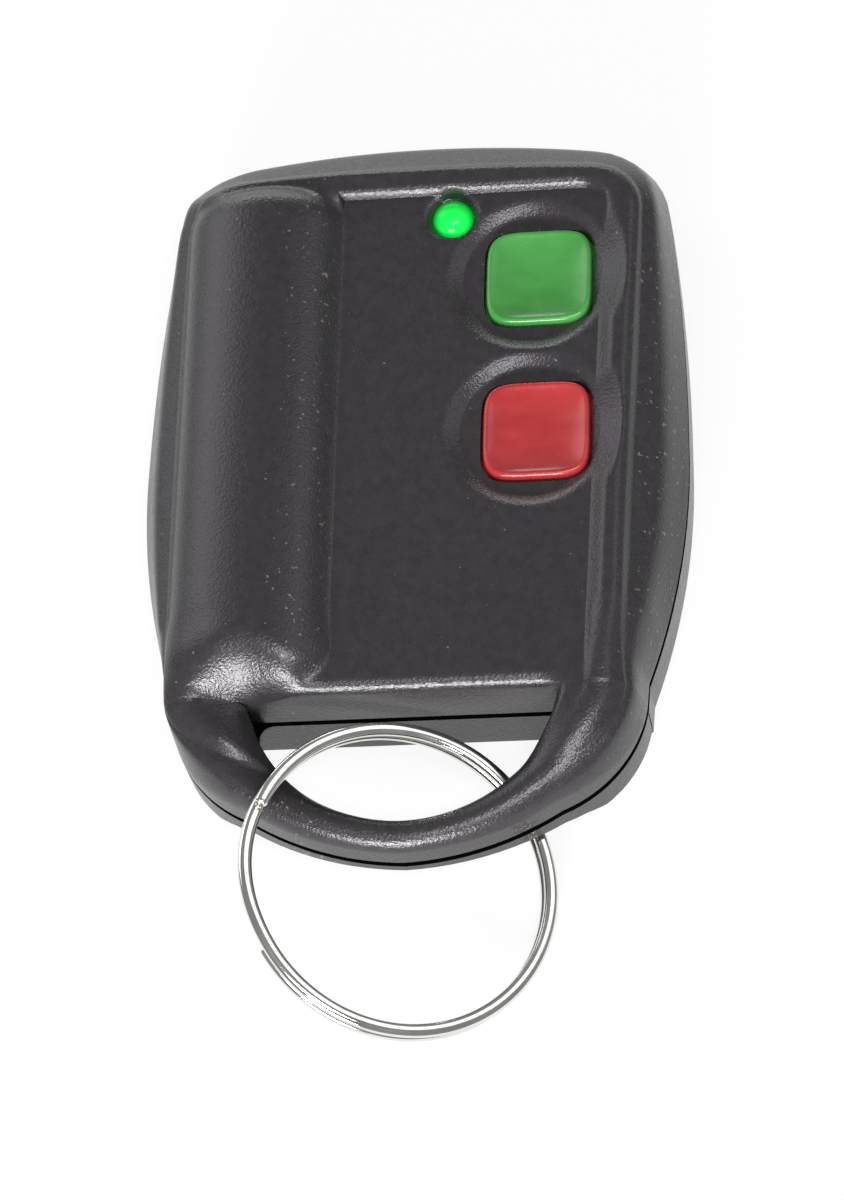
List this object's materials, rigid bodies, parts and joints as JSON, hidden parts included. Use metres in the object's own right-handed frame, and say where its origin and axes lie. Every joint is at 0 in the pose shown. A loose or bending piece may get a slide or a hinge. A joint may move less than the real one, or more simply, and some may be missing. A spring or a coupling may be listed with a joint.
{
  "type": "garage door remote",
  "caption": "Pocket garage door transmitter: black case with a battery hump, coloured square push buttons, signal lamp and a key ring through its eye.",
  "frame": {"origin": "centre of the case's flat rear face", "axes": "+X across the case to the button side, +Y along it towards the lamp, +Z out of the front face"},
  "size_m": [0.044, 0.079, 0.0131],
  "materials": {
    "case_black": "fine-textured satin ABS",
    "button_green": "smooth satin",
    "button_red": "smooth satin",
    "switch_black": "moulded",
    "switch_steel": "stamped",
    "tinned_metal": "tinned",
    "board_green": "solder mask",
    "lamp_green": "clear dyed epoxy",
    "cell_steel": "plated",
    "cell_sleeve": "printed film, plain",
    "contact_metal": "nickel plated",
    "chip_black": "moulded epoxy",
    "trimmer_body": "moulded",
    "coil_copper": "enamelled copper",
    "capacitor_tan": "ceramic",
    "screw_steel": "zinc plated",
    "ring_nickel": "polished nickel plating"
  },
  "bodies": {
    "case": {"front_shell": "case_black", "rear_shell": "case_black", "green_switch_base": "switch_black", "green_switch_cover": "switch_steel", "red_switch_base": "switch_black", "red_switch_cover": "switch_steel", "switch_pins": "tinned_metal", "circuit_board": "board_green", "led_lens": "lamp_green", "led_leads": "tinned_metal", "battery_case": "cell_steel", "battery_sleeve": "cell_sleeve", "battery_positive_cap": "cell_steel", "positive_contact": "contact_metal", "negative_contact": "contact_metal", "negative_spring": "contact_metal", "encoder_chip": "chip_black", "encoder_chip_pins": "tinned_metal", "saw_resonator": "cell_steel", "trimmer_capacitor": "trimmer_body", "oscillator_transistor": "chip_black", "antenna_coil": "coil_copper", "chip_resistors": "chip_black", "chip_capacitors": "capacitor_tan", "case_screws": "screw_steel"},
    "green_key": {"green_button": "button_green", "green_switch_plunger": "switch_black"},
    "red_key": {"red_button": "button_red", "red_switch_plunger": "switch_black"},
    "key_ring": {"split_ring": "ring_nickel"}
  },
  "joints": [
    {"name": "green_press", "type": "slide", "parent": "case", "child": "green_key", "axis": [0, 0, -1], "range_m": [0, 0.00035], "stiffness_N_per_m": 800},
    {"name": "red_press", "type": "slide", "parent": "case", "child": "red_key", "axis": [0, 0, -1], "range_m": [0, 0.00035], "stiffness_N_per_m": 800},
    {"name": "ring_swing", "type": "hinge", "parent": "case", "child": "key_ring", "pos_m": [0.00175, -0.02725, 0.00556], "axis": [-0.8597, 0.281, 0.4265], "range_deg": [0, 90]}
  ]
}
